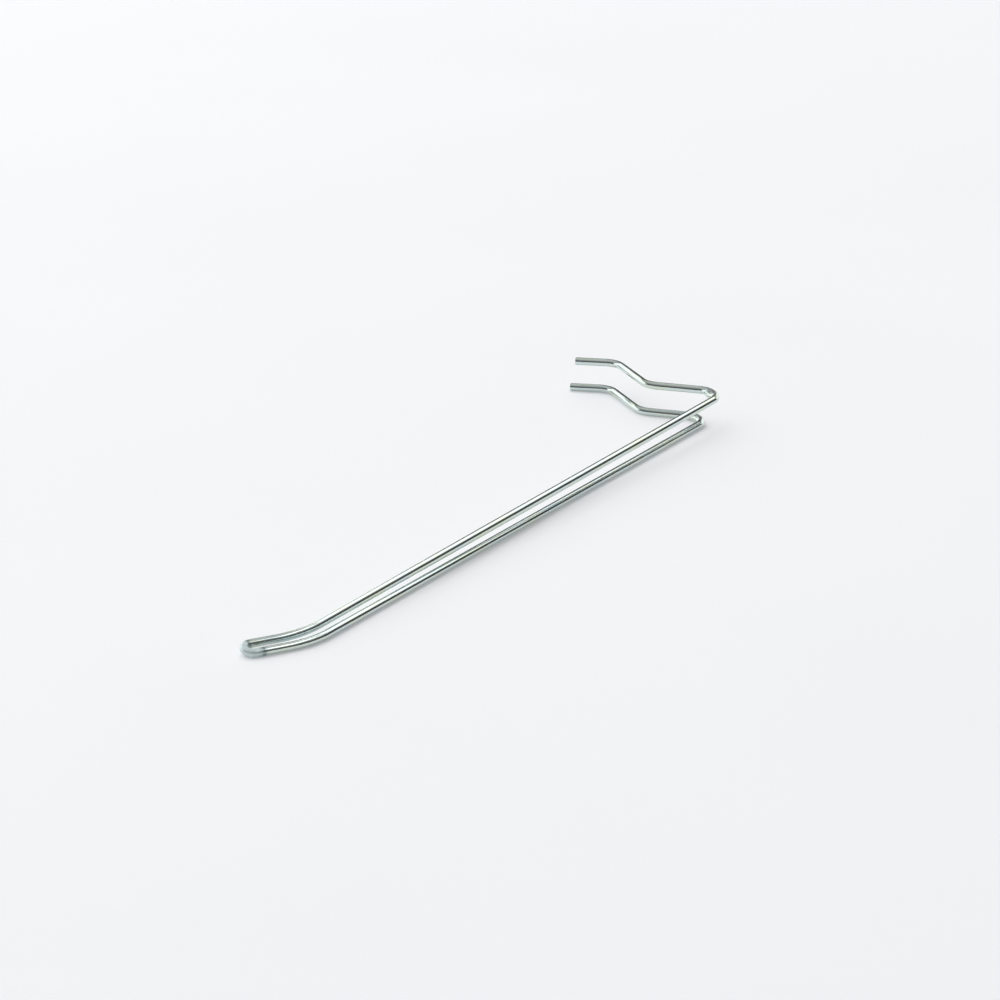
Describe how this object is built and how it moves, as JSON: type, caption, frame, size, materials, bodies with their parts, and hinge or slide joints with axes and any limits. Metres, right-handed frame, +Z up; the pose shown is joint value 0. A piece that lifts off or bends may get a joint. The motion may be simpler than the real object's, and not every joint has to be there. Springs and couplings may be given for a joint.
{
  "type": "double-leg wire hook",
  "caption": "Long two-legged hook bent from one length of zinc-plated round steel wire, with a closed upturned tip and offset stubs that hold it on a panel or rail.",
  "frame": {"origin": "middle of the bounding box in plan, on the table that the hook lies on", "axes": "+X along the legs from the closed tip to the corner, +Y the way the arms and stubs point, +Z up from the table, from the lower wire to the upper"},
  "size_m": [0.4312, 0.1066, 0.0209],
  "materials": {
    "zinc_wire": "bright zinc plating, smooth drawn wire, blue-white with faint yellow-green tints"
  },
  "bodies": {
    "root": {"hook_wire": "zinc_wire"}
  },
  "joints": []
}
